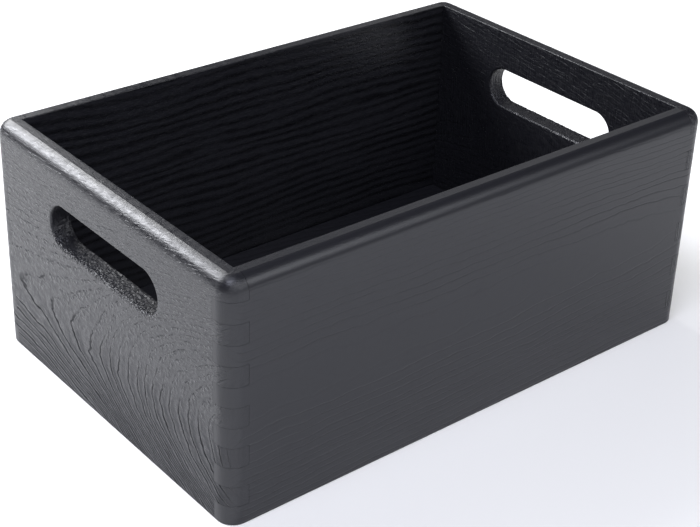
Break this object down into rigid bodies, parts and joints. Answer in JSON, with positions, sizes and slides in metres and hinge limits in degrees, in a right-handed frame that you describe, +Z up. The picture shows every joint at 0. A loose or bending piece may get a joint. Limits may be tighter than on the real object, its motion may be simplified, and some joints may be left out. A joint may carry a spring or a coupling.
{
  "type": "open wooden box",
  "caption": "Open-topped black-stained wooden box with rounded outer edges, finger-jointed corners and an obround hand hole in each end.",
  "frame": {"origin": "under the middle of the box, on the surface that it stands on", "axes": "+X along the long sides, +Y along the ends, +Z up through the open top"},
  "size_m": [0.3, 0.2, 0.126],
  "materials": {
    "stained_wall": "satin black stain over planed pine",
    "stained_bottom": "matt black stain over pine"
  },
  "bodies": {
    "root": {"front_panel": "stained_wall", "back_panel": "stained_wall", "left_end_panel": "stained_wall", "right_end_panel": "stained_wall", "bottom_panel": "stained_bottom"}
  },
  "joints": []
}
